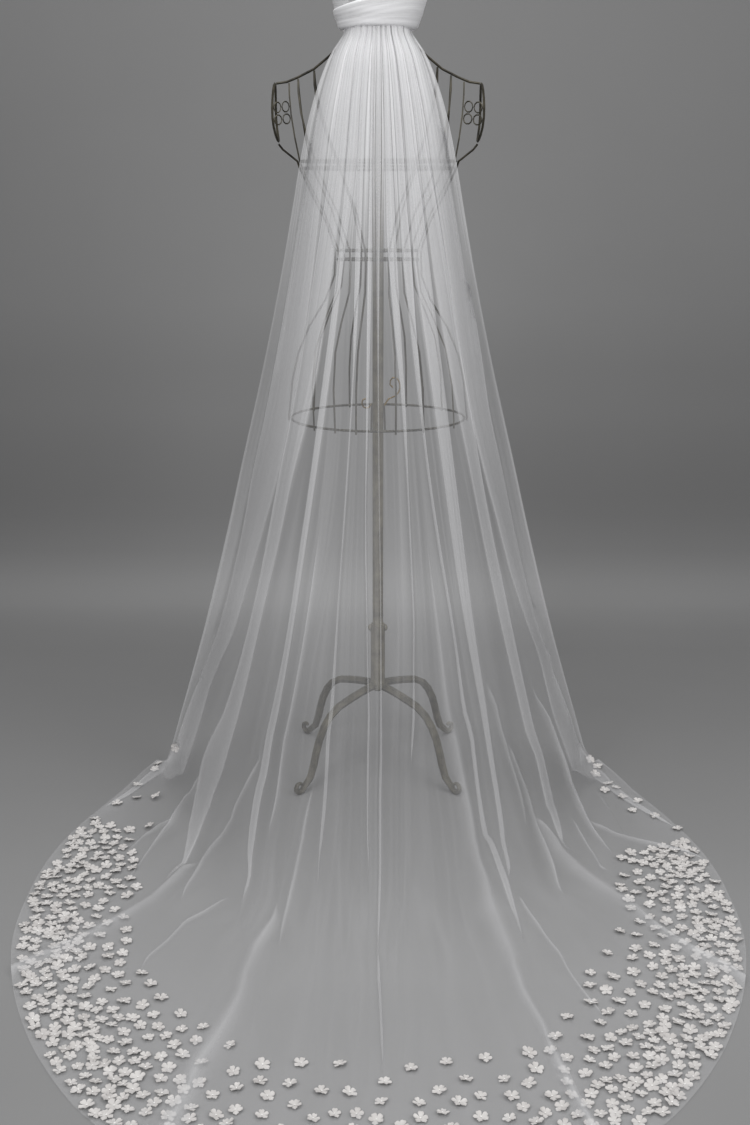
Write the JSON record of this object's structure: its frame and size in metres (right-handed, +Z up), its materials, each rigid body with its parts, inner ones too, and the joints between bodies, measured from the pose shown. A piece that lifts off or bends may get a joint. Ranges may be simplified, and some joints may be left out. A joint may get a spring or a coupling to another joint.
{
  "type": "veil on a wire dress form",
  "caption": "Long tulle bridal veil hung from a wound neck wrap, its floor train edged with raised five-petal flowers, on a wire dress form with a scrolled stand.",
  "frame": {"origin": "on the floor, under the middle of the part's bounding box", "axes": "+Z up; the train spreads towards -Y and the form's back faces -Y; +X is to the right when looking along +Y"},
  "size_m": [1.264, 1.5882, 1.612],
  "materials": {
    "tulle": "sheer white bridal tulle with raised white cloth flowers",
    "wrap": "many layers of white tulle wound tight",
    "iron": "dark bronzed wrought iron",
    "brass": "dull aged brass"
  },
  "bodies": {
    "root": {"arm_ring_left": "iron", "arm_ring_right": "iron", "curl_left_1": "iron", "curl_left_2": "iron", "curl_left_3": "iron", "curl_left_4": "iron", "curl_right_1": "iron", "curl_right_2": "iron", "curl_right_3": "iron", "curl_right_4": "iron", "hip_bar_left": "iron", "hip_bar_right": "iron", "knob_left": "iron", "knob_right": "iron", "leg_1": "iron", "leg_2": "iron", "leg_3": "iron", "leg_4": "iron", "neck": "iron", "ornament_left": "brass", "ornament_right": "brass", "pole": "iron", "rib_back_left_inner": "iron", "rib_back_left_middle": "iron", "rib_back_left_outer": "iron", "rib_back_right_inner": "iron", "rib_back_right_middle": "iron", "rib_back_right_outer": "iron", "rib_front_left_inner": "iron", "rib_front_left_outer": "iron", "rib_front_right_inner": "iron", "rib_front_right_outer": "iron", "rib_side_left": "iron", "rib_side_right": "iron", "ring_bust_lower": "iron", "ring_bust_upper": "iron", "ring_hip": "iron", "ring_waist_lower": "iron", "ring_waist_upper": "iron", "shoulder_left": "iron", "shoulder_right": "iron", "sleeve": "iron", "veil_fall": "tulle", "veil_train": "tulle", "wrap_over": "wrap", "wrap_top": "wrap", "wrap_under": "wrap"}
  },
  "joints": []
}
